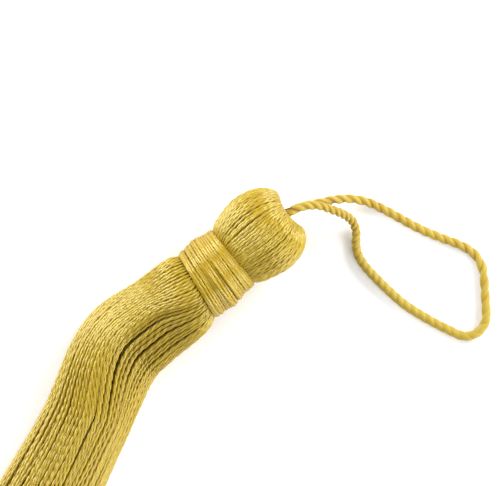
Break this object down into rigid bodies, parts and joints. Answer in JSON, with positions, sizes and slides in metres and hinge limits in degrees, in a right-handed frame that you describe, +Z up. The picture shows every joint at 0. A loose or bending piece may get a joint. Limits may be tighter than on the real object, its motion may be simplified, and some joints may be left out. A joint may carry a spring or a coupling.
{
  "type": "silk tassel",
  "caption": "Silk tassel with a wound neck, a full skirt of twisted threads and a twisted hanging loop, lying on a surface.",
  "frame": {"origin": "middle of the flat spot under the head's widest part, on the surface that the tassel lies on", "axes": "+X along the head's axis towards the hanging loop, +Y to the left of it seen from above, +Z up"},
  "size_m": [0.1027, 0.0426, 0.0139],
  "materials": {
    "yarn_silk": "lustrous twisted silk thread",
    "wrap_silk": "lustrous silk thread, closely wound",
    "cord_silk": "two-ply twisted silk cord"
  },
  "bodies": {
    "root": {"tassel_yarn": "yarn_silk", "neck_wrap": "wrap_silk", "hanging_loop": "cord_silk"}
  },
  "joints": []
}
